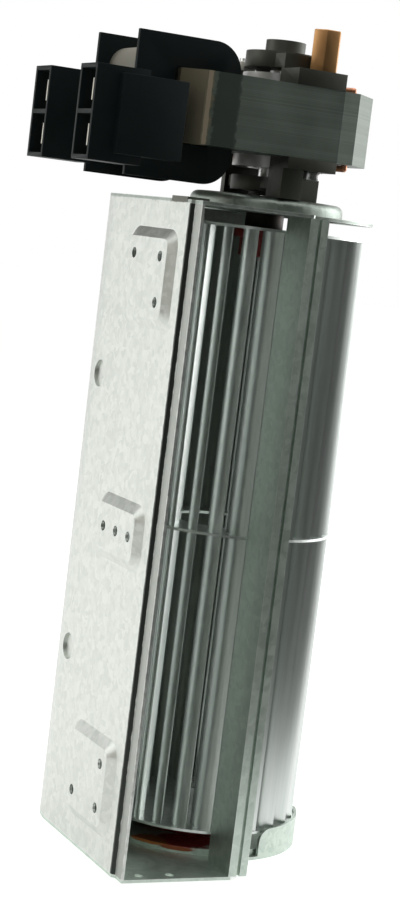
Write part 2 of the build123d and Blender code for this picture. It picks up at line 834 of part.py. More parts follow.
with BuildPart() as upper_bracket:
    bridge_high = upper_low + housing_height - bridge_step
    for side in (-1, 1):
        mirrored_block(side, -foot_left, foot_right, foot_inner_y, foot_outer_y, stack_high, foot_top)
        mirrored_block(side, -foot_left, leg_right, foot_inner_y, foot_inner_y + leg_thickness, stack_high, bridge_high)
        mirrored_block(side, -foot_left, leg_right, 0, foot_inner_y, upper_low, bridge_high)
    with Locations((0, 0, upper_low)):
        Cylinder(housing_radius, housing_height, align=(Align.CENTER, Align.CENTER, Align.MIN))
    with Locations((0, 0, upper_low)):
        Cylinder(
            boss_radius,
            housing_height + boss_height,
            align=(Align.CENTER, Align.CENTER, Align.MIN),
        )
    with Locations((0, 0, upper_low)):
        Cylinder(
            bearing_radius,
            bearing_length + 0.6,
            align=(Align.CENTER, Align.CENTER, Align.MIN),
            mode=Mode.SUBTRACT,
        )
    with Locations((0, 0, upper_low)):
        Cylinder(
            shaft_radius + 0.8,
            housing_height + boss_height - 0.9,
            align=(Align.CENTER, Align.CENTER, Align.MIN),
            mode=Mode.SUBTRACT,
        )
    with Locations((bolt_x, -bolt_y, stack_high), (-bolt_x, bolt_y, stack_high)):
        Cylinder(
            bolt_radius + 0.2,
            foot_thickness,
            align=(Align.CENTER, Align.CENTER, Align.MIN),
            mode=Mode.SUBTRACT,
        )
upper_bracket.part.label = "upper_bracket"

bearing_low_top = body_high
with BuildPart() as motor_bearings:
    for level in (bearing_low_top - bearing_length, upper_low):
        with BuildSketch(Plane.XY.offset(level)):
            Circle(bearing_radius)
            Circle(shaft_radius + running_gap, mode=Mode.SUBTRACT)
        extrude(amount=bearing_length)
motor_bearings.part.label = "motor_bearings"

with BuildPart() as thrust_spacers:
    for low, high in (
        (bearing_low_top + spacer_gap, stack_low),
        (stack_high, upper_low - spacer_gap),
    ):
        with BuildSketch(Plane.XY.offset(low)):
            Circle(spacer_radius)
            Circle(shaft_radius, mode=Mode.SUBTRACT)
        extrude(amount=high - low)
thrust_spacers.part.label = "thrust_spacers"

with BuildPart() as stator_bolts:
    for x, y, top in (
        (bolt_x, -bolt_y, foot_top + standoff_height - standoff_thread_depth - 1.0),
        (-bolt_x, bolt_y, foot_top + nut_height + 1.0),
    ):
        with Locations((x, y, lower_foot_low - bolt_head_height)):
            Cylinder(bolt_head_radius, bolt_head_height, align=(Align.CENTER, Align.CENTER, Align.MIN))
            Cylinder(
                bolt_radius,
                top - lower_foot_low + bolt_head_height,
                align=(Align.CENTER, Align.CENTER, Align.MIN),
            )
            with Locations((0, 0, 0)):
                Box(1.5 * bolt_head_radius, slot_width, slot_depth, mode=Mode.SUBTRACT)
stator_bolts.part.label = "stator_bolts"

with BuildPart() as hex_standoff:
    with BuildSketch(Plane.XY.offset(foot_top)):
        with Locations((bolt_x, -bolt_y)):
            RegularPolygon(standoff_flat / 2, 6, major_radius=False)
    extrude(amount=standoff_height)
    with Locations((bolt_x, -bolt_y, foot_top)):
        Cylinder(
            bolt_radius,
            standoff_height - standoff_thread_depth - 1.0,
            align=(Align.CENTER, Align.CENTER, Align.MIN),
            mode=Mode.SUBTRACT,
        )
    with Locations((bolt_x, -bolt_y, foot_top + standoff_height)):
        Cylinder(
            standoff_thread_radius,
            standoff_thread_depth,
            align=(Align.CENTER, Align.CENTER, Align.MAX),
            mode=Mode.SUBTRACT,
        )
hex_standoff.part.label = "hex_standoff"

with BuildPart() as bolt_nut:
    with BuildSketch(Plane.XY.offset(foot_top)):
        with Locations((-bolt_x, bolt_y)):
            RegularPolygon(nut_flat / 2, 6, major_radius=False)
            Circle(bolt_radius, mode=Mode.SUBTRACT)
    extrude(amount=nut_height)
bolt_nut.part.label = "bolt_nut"

with BuildPart() as mounting_screws:
    for side in (-1, 1):
        x = side * mount_screw_x
        y = side * mount_screw_y
        with Locations((x, y, platform_top - plate)):
            Cylinder(mount_head_radius, mount_head_height, align=(Align.CENTER, Align.CENTER, Align.MAX))
            Cylinder(mount_screw_radius, plate + mount_screw_reach - 1.0, align=(Align.CENTER, Align.CENTER, Align.MIN))
        with Locations((x, y, platform_top - plate - mount_head_height)):
            Box(1.4 * mount_head_radius, slot_width, slot_depth, mode=Mode.SUBTRACT)
            Box(slot_width, 1.4 * mount_head_radius, slot_depth, mode=Mode.SUBTRACT)
mounting_screws.part.label = "mounting_screws"

pieces = [
    scroll_casing,
    tongue_wall,
    bearing_end_plate,
    motor_end_plate,
    impeller_blades,
    impeller_middle_disc,
    impeller_motor_disc,
    impeller_bearing_disc,
    rubber_hub,
    hub_collar,
    motor_shaft,
    rotor_core,
    rotor_cage,
    stub_shaft,
    end_hub,
    end_washer_ring,
    end_bearing_rubber,
    end_bearing,
    stator_frame,
    stator_leg,
    shading_rings,
    coil_bobbin,
    coil_winding,
    coil_tape,
    spade_terminals,
    lower_bracket,
    upper_bracket,
    motor_bearings,
    thrust_spacers,
    stator_bolts,
    hex_standoff,
    bolt_nut,
    mounting_screws,
]
for piece in pieces:
    export_step(piece.part, f"parts/{piece.part.label}.step")
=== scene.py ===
"""Cross flow fan: finishes, softened edges, studio, lamps and camera."""
import json
from math import cos, radians, sin

import bmesh
import bpy
from mathutils import Matrix, Vector


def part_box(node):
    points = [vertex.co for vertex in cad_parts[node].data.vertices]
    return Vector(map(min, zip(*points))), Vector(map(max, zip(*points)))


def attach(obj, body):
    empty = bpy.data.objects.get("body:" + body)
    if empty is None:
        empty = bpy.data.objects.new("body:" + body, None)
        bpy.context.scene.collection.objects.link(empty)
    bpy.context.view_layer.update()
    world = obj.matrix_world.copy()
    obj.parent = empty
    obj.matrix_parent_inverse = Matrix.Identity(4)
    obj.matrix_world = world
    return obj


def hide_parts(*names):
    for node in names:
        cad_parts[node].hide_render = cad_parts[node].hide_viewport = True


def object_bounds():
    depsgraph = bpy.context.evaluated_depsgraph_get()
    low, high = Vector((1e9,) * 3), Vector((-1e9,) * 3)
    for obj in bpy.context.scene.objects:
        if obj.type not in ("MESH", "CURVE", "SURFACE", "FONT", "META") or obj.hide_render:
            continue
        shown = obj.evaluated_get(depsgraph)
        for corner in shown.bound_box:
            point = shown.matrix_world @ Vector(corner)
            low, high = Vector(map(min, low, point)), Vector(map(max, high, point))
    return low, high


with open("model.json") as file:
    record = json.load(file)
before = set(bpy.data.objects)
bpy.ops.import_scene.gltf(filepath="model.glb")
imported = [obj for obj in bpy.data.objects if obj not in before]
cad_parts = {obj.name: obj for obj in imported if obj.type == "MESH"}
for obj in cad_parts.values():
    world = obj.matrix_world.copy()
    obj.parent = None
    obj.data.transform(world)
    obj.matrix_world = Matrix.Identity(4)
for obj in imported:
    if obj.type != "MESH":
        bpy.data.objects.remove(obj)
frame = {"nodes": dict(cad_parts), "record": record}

cad_low, cad_high = [list(c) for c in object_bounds()]
record = frame["record"]
bodies = record["behaviour"]["bodies"]


# ---------------------------------------------------------------- shader helpers
def new_group(name, inputs, outputs):
    """An empty shader node group with named sockets."""
    group = bpy.data.node_groups.new(name, "ShaderNodeTree")
    for label, kind, value in inputs:
        socket = group.interface.new_socket(label, in_out="INPUT", socket_type=kind)
        if value is not None:
            socket.default_value = value
    for label, kind in outputs:
        group.interface.new_socket(label, in_out="OUTPUT", socket_type=kind)
    return group


def add_node(tree, kind, **settings):
    """A node of one kind with its settings."""
    node = tree.nodes.new(kind)
    for key, value in settings.items():
        setattr(node, key, value)
    return node


def ramp_between(tree, low, high):
    """Colour ramp used as a soft threshold."""
    node = add_node(tree, "ShaderNodeValToRGB")
    node.color_ramp.elements[0].position = low
    node.color_ramp.elements[1].position = high
    return node


def build_zinc_spangle():
    """Zinc crystals: a light and dark mask and a height, from the crystal size."""
    tree = new_group(
        "zinc_spangle",
        [("Crystal Scale", "NodeSocketFloat", 150.0), ("Smear", "NodeSocketFloat", 0.35)],
        [("Mask", "NodeSocketFloat"), ("Height", "NodeSocketFloat")],
    )
    given = add_node(tree, "NodeGroupInput")
    result = add_node(tree, "NodeGroupOutput")
    place = add_node(tree, "ShaderNodeTexCoord")
    cells = add_node(tree, "ShaderNodeTexVoronoi", feature="F1")
    cells.inputs["Randomness"].default_value = 1.0
    wobble = add_node(tree, "ShaderNodeTexNoise")
    wobble.inputs["Scale"].default_value = 260.0
    wobble.inputs["Detail"].default_value = 3.0
    shift = add_node(tree, "ShaderNodeVectorMath", operation="MULTIPLY_ADD")
    shift.inputs[1].default_value = (0.006, 0.006, 0.006)
    cloud = add_node(tree, "ShaderNodeTexNoise")
    cloud.inputs["Scale"].default_value = 420.0
    cloud.inputs["Detail"].default_value = 5.0
    cloud.inputs["Roughness"].default_value = 0.6
    tone = add_node(tree, "ShaderNodeSeparateColor")
    blend = add_node(tree, "ShaderNodeMix", data_type="FLOAT")
    link = tree.links.new
    link(place.outputs["Object"], wobble.inputs["Vector"])
    link(wobble.outputs["Color"], shift.inputs[0])
    link(place.outputs["Object"], shift.inputs[2])
    link(shift.outputs["Vector"], cells.inputs["Vector"])
    link(given.outputs["Crystal Scale"], cells.inputs["Scale"])
    link(place.outputs["Object"], cloud.inputs["Vector"])
    link(cells.outputs["Color"], tone.inputs["Color"])
    link(given.outputs["Smear"], blend.inputs["Factor"])
    link(tone.outputs["Red"], blend.inputs["A"])
    link(cloud.outputs["Fac"], blend.inputs["B"])
    link(blend.outputs["Result"], result.inputs["Mask"])
    link(cloud.outputs["Fac"], result.inputs["Height"])
    return tree


def build_drawn_streaks():
    """Long streaks left by drawing or rolling, as a mask along one direction."""
    tree = new_group(
        "drawn_streaks",
        [("Stretch", "NodeSocketVector", (500.0, 500.0, 12.0))],
        [("Mask", "NodeSocketFloat")],
    )
    given = add_node(tree, "NodeGroupInput")
    result = add_node(tree, "NodeGroupOutput")
    place = add_node(tree, "ShaderNodeTexCoord")
    stretch = add_node(tree, "ShaderNodeVectorMath", operation="MULTIPLY")
    noise = add_node(tree, "ShaderNodeTexNoise")
    noise.inputs["Scale"].default_value = 1.0
    noise.inputs["Detail"].default_value = 4.0
    noise.inputs["Roughness"].default_value = 0.55
    link = tree.links.new
    link(place.outputs["Object"], stretch.inputs[0])
    link(given.outputs["Stretch"], stretch.inputs[1])
    link(stretch.outputs["Vector"], noise.inputs["Vector"])
    link(noise.outputs["Fac"], result.inputs["Mask"])
    return tree


def build_edge_wear():
    """Mask of the edges, broken up by noise."""
    tree = new_group(
        "edge_wear",
        [("Reach", "NodeSocketFloat", 0.0006), ("Amount", "NodeSocketFloat", 1.0)],
        [("Mask", "NodeSocketFloat")],
    )
    given = add_node(tree, "NodeGroupInput")
    result = add_node(tree, "NodeGroupOutput")
    place = add_node(tree, "ShaderNodeTexCoord")
    rounded = add_node(tree, "ShaderNodeBevel", samples=4)
    plain = add_node(tree, "ShaderNodeNewGeometry")
    dot = add_node(tree, "ShaderNodeVectorMath", operation="DOT_PRODUCT")
    turn = add_node(tree, "ShaderNodeMath", operation="SUBTRACT")
    turn.inputs[0].default_value = 1.0
    noise = add_node(tree, "ShaderNodeTexNoise")
    noise.inputs["Scale"].default_value = 500.0
    scale = add_node(tree, "ShaderNodeMath", operation="MULTIPLY")
    boost = add_node(tree, "ShaderNodeMath", operation="MULTIPLY", use_clamp=True)
    gain = add_node(tree, "ShaderNodeMath", operation="MULTIPLY")
    gain.inputs[1].default_value = 9.0
    link = tree.links.new
    link(given.outputs["Reach"], rounded.inputs["Radius"])
    link(rounded.outputs["Normal"], dot.inputs[0])
    link(plain.outputs["Normal"], dot.inputs[1])
    link(dot.outputs["Value"], turn.inputs[1])
    link(turn.outputs["Value"], gain.inputs[0])
    link(place.outputs["Object"], noise.inputs["Vector"])
    link(gain.outputs["Value"], scale.inputs[0])
    link(noise.outputs["Fac"], scale.inputs[1])
    link(scale.outputs["Value"], boost.inputs[0])
    link(given.outputs["Amount"], boost.inputs[1])
    link(boost.outputs["Value"], result.inputs["Mask"])
    return tree


def build_tinted_patch():
    """Mask of one tinted patch (a stain, or painted shade, highlight or reflection), fading with distance
    from its middle.
    """
    tree = new_group(
        "tinted_patch",
        [
            ("Middle", "NodeSocketVector", (0.0, 0.0, 0.0)),
            ("Spread", "NodeSocketVector", (100.0, 100.0, 100.0)),
            ("Fade", "NodeSocketFloat", 0.5),
        ],
        [("Mask", "NodeSocketFloat")],
    )
    given = add_node(tree, "NodeGroupInput")
    result = add_node(tree, "NodeGroupOutput")
    place = add_node(tree, "ShaderNodeTexCoord")
    offset = add_node(tree, "ShaderNodeVectorMath", operation="SUBTRACT")
    squeeze = add_node(tree, "ShaderNodeVectorMath", operation="MULTIPLY")
    reach = add_node(tree, "ShaderNodeVectorMath", operation="LENGTH")
    ragged = add_node(tree, "ShaderNodeTexNoise")
    ragged.inputs["Scale"].default_value = 380.0
    ragged.inputs["Detail"].default_value = 4.0
    uneven = add_node(tree, "ShaderNodeMath", operation="MULTIPLY_ADD")
    uneven.inputs[1].default_value = 0.7
    edge = add_node(tree, "ShaderNodeMapRange", interpolation_type="SMOOTHSTEP")
    edge.inputs["From Max"].default_value = 1.35
    edge.inputs["To Min"].default_value = 1.0
    edge.inputs["To Max"].default_value = 0.0
    link = tree.links.new
    link(place.outputs["Object"], offset.inputs[0])
    link(given.outputs["Middle"], offset.inputs[1])
    link(offset.outputs["Vector"], squeeze.inputs[0])
    link(given.outputs["Spread"], squeeze.inputs[1])
    link(squeeze.outputs["Vector"], reach.inputs[0])
    link(place.outputs["Object"], ragged.inputs["Vector"])
    link(ragged.outputs["Fac"], uneven.inputs[0])
    link(reach.outputs["Value"], uneven.inputs[2])
    link(uneven.outputs["Value"], edge.inputs["Value"])
    link(given.outputs["Fade"], edge.inputs["From Min"])
    link(edge.outputs["Result"], result.inputs["Mask"])
    return tree


zinc_spangle = build_zinc_spangle()
drawn_streaks = build_drawn_streaks()
edge_wear = build_edge_wear()
tinted_patch = build_tinted_patch()


def start_material(name, roughness=0.5, metallic=0.0):
    """A new material with its node tree and shader."""
    material = bpy.data.materials.new(name)
    material.use_nodes = True
    tree = material.node_tree
    shader = tree.nodes["Principled BSDF"]
    shader.inputs["Roughness"].default_value = roughness
    shader.inputs["Metallic"].default_value = metallic
    return material, tree, shader


def use_group(tree, group, **values):
    """A shader group placed in a material with its own values."""
    node = tree.nodes.new("ShaderNodeGroup")
    node.node_tree = group
    for key, value in values.items():
        node.inputs[key.replace("_", " ")].default_value = value
    return node


def colour_mix(tree, factor, dark, light):
    """Colour between two tones by a mask socket."""
    node = add_node(tree, "ShaderNodeMix", data_type="RGBA")
    node.inputs["A"].default_value = (*dark, 1.0)
    node.inputs["B"].default_value = (*light, 1.0)
    tree.links.new(factor, node.inputs["Factor"])
    return node.outputs["Result"]


def value_range(tree, factor, low, high):
    """A mask spread over a range of values."""
    node = add_node(tree, "ShaderNodeMapRange")
    node.inputs["To Min"].default_value = low
    node.inputs["To Max"].default_value = high
    tree.links.new(factor, node.inputs["Value"])
    return node.outputs["Result"]


def bump(tree, shader, height, strength, distance):
    """Fine relief from a height."""
    node = add_node(tree, "ShaderNodeBump")
    node.inputs["Strength"].default_value = strength
    node.inputs["Distance"].default_value = distance
    tree.links.new(height, node.inputs["Height"])
    tree.links.new(node.outputs["Normal"], shader.inputs["Normal"])


def lay_stains_and_painted_light(tree, shown, stains_and_painted_light):
    """Lay tinted patches over a colour, as stains or as painted shade, highlight and reflection: middle,
    spread, fade and tint of each.
    """
    for middle, spread, fade, tint in stains_and_painted_light:
        patch = use_group(tree, tinted_patch, Middle=middle, Spread=spread, Fade=fade)
        tinted_colour = add_node(tree, "ShaderNodeMix", data_type="RGBA")
        tinted_colour.inputs["B"].default_value = (*tint, 1.0)
        tree.links.new(patch.outputs["Mask"], tinted_colour.inputs["Factor"])
        tree.links.new(shown, tinted_colour.inputs["A"])
        shown = tinted_colour.outputs["Result"]
    return shown


def any_ray(tree, *kinds):
    """1 for a light path of any of the named kinds."""
    rays = add_node(tree, "ShaderNodeLightPath")
    found = rays.outputs[kinds[0]]
    for kind in kinds[1:]:
        either = add_node(tree, "ShaderNodeMath", operation="MAXIMUM")
        tree.links.new(found, either.inputs[0])
        tree.links.new(rays.outputs[kind], either.inputs[1])
        found = either.outputs["Value"]
    return found


# ---------------------------------------------------------------- finishes
crystal_scale = 520.0            # zinc crystals in a metre
crystal_smear = 0.58             # share of cloudiness in the spangle
worn_zinc = (0.82, 0.84, 0.83)   # edges rubbed bright
wear_reach = 0.0004


def galvanised_finish(name, dark, light, stains_and_painted_light=()):
    """Zinc-coated sheet, with worn edges and any tinted patches: stains, or painted shade, highlight and
    reflection.
    """
    material, tree, shader = start_material(name, metallic=0.85)
    spangle = use_group(tree, zinc_spangle, Crystal_Scale=crystal_scale, Smear=crystal_smear)
    soft = ramp_between(tree, 0.28, 0.72)
    tree.links.new(spangle.outputs["Mask"], soft.inputs["Fac"])
    wear = use_group(tree, edge_wear, Reach=wear_reach, Amount=0.9)
    base = colour_mix(tree, soft.outputs["Color"], dark, light)
    worn = add_node(tree, "ShaderNodeMix", data_type="RGBA")
    worn.inputs["B"].default_value = (*worn_zinc, 1.0)
    tree.links.new(wear.outputs["Mask"], worn.inputs["Factor"])
    tree.links.new(base, worn.inputs["A"])
    tree.links.new(lay_stains_and_painted_light(tree, worn.outputs["Result"], stains_and_painted_light), shader.inputs["Base Color"])
    roughness = value_range(tree, spangle.outputs["Mask"], 0.34, 0.5)
    tree.links.new(roughness, shader.inputs["Roughness"])
    bump(tree, shader, spangle.outputs["Height"], 0.25, 0.0002)
    return material


def streaked_finish(name, dark, light, stretch, rough_low, rough_high):
    """Rolled sheet with long streaks."""
    material, tree, shader = start_material(name, metallic=0.9)
    streaks = use_group(tree, drawn_streaks, Stretch=stretch)
    soft = ramp_between(tree, 0.3, 0.7)
    tree.links.new(streaks.outputs["Mask"], soft.inputs["Fac"])
    tree.links.new(colour_mix(tree, soft.outputs["Color"], dark, light), shader.inputs["Base Color"])
    roughness = value_range(tree, streaks.outputs["Mask"], rough_low, rough_high)
    tree.links.new(roughness, shader.inputs["Roughness"])
    bump(tree, shader, streaks.outputs["Mask"], 0.2, 0.0002)
    return material


sheets_per_metre = 2000.0        # laminations are half a millimetre thick


def laminated_finish(name, stains_and_painted_light):
    """Punched sheets stacked along Z, each of its own tone, with dark gaps between."""
    material, tree, shader = start_material(name, metallic=0.55)
    place = add_node(tree, "ShaderNodeTexCoord")
    split = add_node(tree, "ShaderNodeSeparateXYZ")
    rows = add_node(tree, "ShaderNodeMath", operation="MULTIPLY")
    rows.inputs[1].default_value = sheets_per_metre
    part = add_node(tree, "ShaderNodeMath", operation="FRACT")
    ridge = add_node(tree, "ShaderNodeMath", operation="PINGPONG")
    ridge.inputs[1].default_value = 0.5
    gap = ramp_between(tree, 0.02, 0.16)
    row_index = add_node(tree, "ShaderNodeMath", operation="FLOOR")
    row_tone = add_node(tree, "ShaderNodeTexWhiteNoise", noise_dimensions="1D")
    stain = add_node(tree, "ShaderNodeTexNoise")
    stain.inputs["Scale"].default_value = 90.0
    stain.inputs["Detail"].default_value = 5.0
    tone = add_node(tree, "ShaderNodeMath", operation="MULTIPLY_ADD")
    tone.inputs[1].default_value = 0.35
    link = tree.links.new
    link(place.outputs["Object"], split.inputs["Vector"])
    link(split.outputs["Z"], rows.inputs[0])
    link(rows.outputs["Value"], part.inputs[0])
    link(part.outputs["Value"], ridge.inputs[0])
    link(ridge.outputs["Value"], gap.inputs["Fac"])
    link(rows.outputs["Value"], row_index.inputs[0])
    link(row_index.outputs["Value"], row_tone.inputs["W"])
    link(place.outputs["Object"], stain.inputs["Vector"])
    link(row_tone.outputs["Value"], tone.inputs[0])
    link(stain.outputs["Fac"], tone.inputs[2])
    sheet_tone = colour_mix(tree, tone.outputs["Value"], (0.10, 0.125, 0.103), (0.185, 0.22, 0.188))
    dark_gap = add_node(tree, "ShaderNodeMix", data_type="RGBA", blend_type="MULTIPLY")
    dark_gap.inputs["Factor"].default_value = 0.18
    link(sheet_tone, dark_gap.inputs["A"])
    link(gap.outputs["Color"], dark_gap.inputs["B"])
    link(lay_stains_and_painted_light(tree, dark_gap.outputs["Result"], stains_and_painted_light), shader.inputs["Base Color"])
    link(value_range(tree, stain.outputs["Fac"], 0.36, 0.56), shader.inputs["Roughness"])
    bump(tree, shader, gap.outputs["Color"], 0.12, 0.00005)
    return material


fine_relief = 0.00005


def plain_finish(name, dark, light, scale, rough_low, rough_high, metallic=0.0, depth=fine_relief, ior=1.5):
    """Even finish with fine grain and a slow change of tone."""
    material, tree, shader = start_material(name, metallic=metallic)
    shader.inputs["IOR"].default_value = ior
    place = add_node(tree, "ShaderNodeTexCoord")
    grain = add_node(tree, "ShaderNodeTexNoise")
    grain.inputs["Scale"].default_value = scale
    grain.inputs["Detail"].default_value = 4.0
    slow = add_node(tree, "ShaderNodeTexNoise")
    slow.inputs["Scale"].default_value = scale / 9.0
    slow.inputs["Detail"].default_value = 2.0
    link = tree.links.new
    link(place.outputs["Object"], grain.inputs["Vector"])
    link(place.outputs["Object"], slow.inputs["Vector"])
    link(colour_mix(tree, slow.outputs["Fac"], dark, light), shader.inputs["Base Color"])
    link(value_range(tree, grain.outputs["Fac"], rough_low, rough_high), shader.inputs["Roughness"])
    bump(tree, shader, grain.outputs["Fac"], 0.35, depth)
    return material


def band(axis, place, narrow, fade, tint):
    """A band of painted shade, highlight or reflection right across a piece, bounded along one axis only.
    """
    middle = [0.0, 0.0, 0.0]
    spread = [0.0, 0.0, 0.0]
    middle["XYZ".index(axis)] = place
    spread["XYZ".index(axis)] = narrow
    return middle, spread, fade, tint


wall_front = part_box("scroll_casing")[0][1]
wall_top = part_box("scroll_casing")[1][2]
stator_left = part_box("stator_frame")[0][0]
motor_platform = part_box("motor_end_plate")[1][2]
lower_platform = 0.003                   # raised platform of the bearing end plate
# Places of painted shade on the casing: a darker band on the front lip, a dark band on the joggle and a
# dark line under the top edge.
lip_shade_middle = wall_front + 0.0024
joggle_shade_middle = wall_front + 0.0057
top_edge_shade_middle = wall_top - 0.0007
# Places of painted light on the stator's left end: a tan lit facet, a highlight line along its edge, and a
# band of painted dark reflection on the front face.
lit_facet_middle = stator_left + 0.0036
highlight_line_middle = stator_left + 0.0068
dark_reflection_middle = stator_left + 0.0128
platform_side = lower_platform - 0.0007  # just under the platform's edge

casing_zinc = galvanised_finish(
    "casing_zinc",
    (0.60, 0.63, 0.585),
    (0.72, 0.745, 0.70),
    stains_and_painted_light=[
        # Painted shade: a darker band on the lip, a dark band on the joggle and a dark line under the top
        # edge.
        band("Y", lip_shade_middle, 400.0, 1.1, (0.40, 0.42, 0.385)),
        band("Y", joggle_shade_middle, 1000.0, 1.1, (0.035, 0.04, 0.035)),
        band("Z", top_edge_shade_middle, 800.0, 1.1, (0.13, 0.135, 0.11)),
    ],
)
plate_zinc = galvanised_finish(
    "plate_zinc",
    (0.50, 0.585, 0.515),
    (0.62, 0.705, 0.63),
    stains_and_painted_light=[
        # Painted reflection of the red rubber bearing mount: a dark red patch and an orange patch on top of
        # the lower platform, and an orange-brown patch on its side.
        ((-0.012, -0.022, lower_platform), (70.0, 110.0, 1500.0), 1.0, (0.42, 0.05, 0.045)),
        ((-0.0245, -0.0205, lower_platform), (140.0, 140.0, 900.0), 1.05, (0.56, 0.21, 0.075)),
        ((-0.0175, -0.0270, platform_side), (150.0, 150.0, 1300.0), 1.0, (0.34, 0.105, 0.05)),
    ],
)
motor_plate_zinc = galvanised_finish(
    "motor_plate_zinc",
    (0.30, 0.345, 0.305),
    (0.42, 0.47, 0.425),
    stains_and_painted_light=[((-0.026, -0.02, motor_platform), (110.0, 60.0, 200.0), 0.4, (0.11, 0.05, 0.035))],
)
blade_zinc = streaked_finish(
    "blade_zinc", (0.62, 0.68, 0.64), (0.82, 0.85, 0.83), (420.0, 420.0, 9.0), 0.26, 0.42
)
lamination = laminated_finish(
    "lamination",
    stains_and_painted_light=[
        # Painted dark reflection on the front face, painted light on the tan facet and a painted highlight
        # line along its edge.
        band("X", dark_reflection_middle, 227.0, 1.15, (0.07, 0.09, 0.076)),
        band("X", lit_facet_middle, 208.0, 1.15, (0.25, 0.225, 0.155)),
        band("X", highlight_line_middle, 1250.0, 1.15, (0.50, 0.42, 0.30)),
    ],
)
bobbin_plastic = plain_finish(
    "bobbin_plastic", (0.009, 0.0135, 0.0135), (0.015, 0.022, 0.022), 900.0, 0.42, 0.58, ior=1.2
)
cream_tape = plain_finish("cream_tape", (0.24, 0.23, 0.185), (0.34, 0.33, 0.27), 400.0, 0.5, 0.7)
ring_copper = plain_finish(
    "ring_copper", (0.62, 0.26, 0.14), (0.82, 0.40, 0.24), 500.0, 0.25, 0.42, metallic=0.6
)
cast_zinc = plain_finish(
    "cast_zinc", (0.045, 0.048, 0.038), (0.085, 0.088, 0.072), 420.0, 0.4, 0.6, metallic=0.7, depth=0.0001
)
red_silicone = plain_finish("red_silicone", (0.16, 0.014, 0.012), (0.26, 0.026, 0.02), 600.0, 0.45, 0.62)
bright_steel = plain_finish(
    "bright_steel", (0.55, 0.56, 0.55), (0.70, 0.70, 0.68), 700.0, 0.22, 0.36, metallic=1.0
)
dark_steel = plain_finish(
    "dark_steel", (0.035, 0.028, 0.024), (0.07, 0.055, 0.046), 600.0, 0.3, 0.5, metallic=0.6
)
turned_brass = plain_finish(
    "turned_brass", (0.42, 0.215, 0.08), (0.60, 0.34, 0.15), 650.0, 0.28, 0.44, metallic=0.85
)
tinned_brass = plain_finish(
    "tinned_brass", (0.58, 0.55, 0.46), (0.74, 0.71, 0.62), 600.0, 0.24, 0.38, metallic=1.0
)
oiled_bronze = plain_finish(
    "oiled_bronze", (0.22, 0.14, 0.07), (0.34, 0.22, 0.11), 800.0, 0.35, 0.5, metallic=0.9
)
cage_metal = plain_finish(
    "cage_metal", (0.45, 0.45, 0.44), (0.6, 0.6, 0.58), 500.0, 0.34, 0.5, metallic=0.9
)
coil_enamel = plain_finish(
    "coil_enamel", (0.36, 0.12, 0.05), (0.5, 0.19, 0.08), 500.0, 0.3, 0.45, metallic=0.8
)

finishes = {
    "galvanised_sheet": casing_zinc,
    "impeller_sheet": blade_zinc,
    "lamination_steel": lamination,
    "black_plastic": bobbin_plastic,
    "coil_copper": coil_enamel,
    "cream_tape": cream_tape,
    "tinned_brass": tinned_brass,
    "copper": ring_copper,
    "bracket_casting": cast_zinc,
    "red_rubber": red_silicone,
    "dark_steel": dark_steel,
    "bright_steel": bright_steel,
    "sintered_bronze": oiled_bronze,
    "cage_aluminium": cage_metal,
    "brass": turned_brass,
}
plate_finishes = {
    "bearing_end_plate": plate_zinc,
    "tongue_wall": plate_zinc,
    "motor_end_plate": motor_plate_zinc,
}
slot_of = {entry["node"]: entry["material_slot"] for entry in record["subparts"]}
body_of = {node: body for body, nodes in bodies.items() for node in nodes}
for node, piece in frame["nodes"].items():
    finish = plate_finishes.get(node, finishes[slot_of[node]])
    piece.data.materials.clear()
    piece.data.materials.append(finish)


# ---------------------------------------------------------------- softened copies
edge_segments = 2
merge_distance = 0.000002        # joins the loose triangles of a CAD mesh
flat_angle = radians(1.0)        # faces that meet flatter than this become one
sharp_angle = radians(28.0)      # edges sharper than this are rounded
shade_angle = radians(35.0)
root_depth = 0.0005              # inner end of a drawn-out piece, which stays put


def softened(node, width, reach=0.0):
    """A copy of a CAD piece with its sharp edges rounded, in place of the node.

    With a reach, the -X ends of the piece are drawn out by that length.
    """
    source = frame["nodes"][node]
    mesh = source.data.copy()
    mesh.name = node + "_soft"
    work = bmesh.new()
    work.from_mesh(mesh)
    bmesh.ops.remove_doubles(work, verts=work.verts, dist=merge_distance)
    bmesh.ops.dissolve_limit(
        work, angle_limit=flat_angle, verts=work.verts, edges=work.edges, use_dissolve_boundaries=False
    )
    if reach:
        root = max(v.co.x for v in work.verts) - root_depth
        outer = [v for v in work.verts if v.co.x < root]
        bmesh.ops.translate(work, verts=outer, vec=(-reach, 0.0, 0.0))
    sharp = [e for e in work.edges if len(e.link_faces) == 2 and e.calc_face_angle(0.0) > sharp_angle]
    bmesh.ops.bevel(
        work,
        geom=sharp,
        offset=width,
        segments=edge_segments,
        profile=0.5,
        material=-1,
        affect="EDGES",
        clamp_overlap=True,
    )
    work.to_mesh(mesh)
    work.free()
    piece = bpy.data.objects.new(node + "_soft", mesh)
    bpy.context.scene.collection.objects.link(piece)
    for polygon in mesh.polygons:
        polygon.use_smooth = True
    mesh.set_sharp_from_angle(angle=shade_angle)
    mesh.materials.clear()
    mesh.materials.append(source.data.materials[0])
    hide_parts(node)
    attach(piece, body_of[node])
    return piece


tab_inset = 0.0018               # spade tips behind the mouths of their housings
tab_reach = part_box("spade_terminals")[0][0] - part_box("coil_bobbin")[0][0] - tab_inset
edge_widths = {
    "coil_bobbin": 0.00035,
    "lower_bracket": 0.0006,
    "upper_bracket": 0.0006,
    "hex_standoff": 0.0003,
    "bolt_nut": 0.0003,
    "stator_bolts": 0.0003,
    "spade_terminals": 0.00012,
    "rubber_hub": 0.0004,
    "hub_collar": 0.0003,
    "end_bearing_rubber": 0.0005,
}
for node, width in edge_widths.items():
    softened(node, width, reach=tab_reach if node == "spade_terminals" else 0.0)


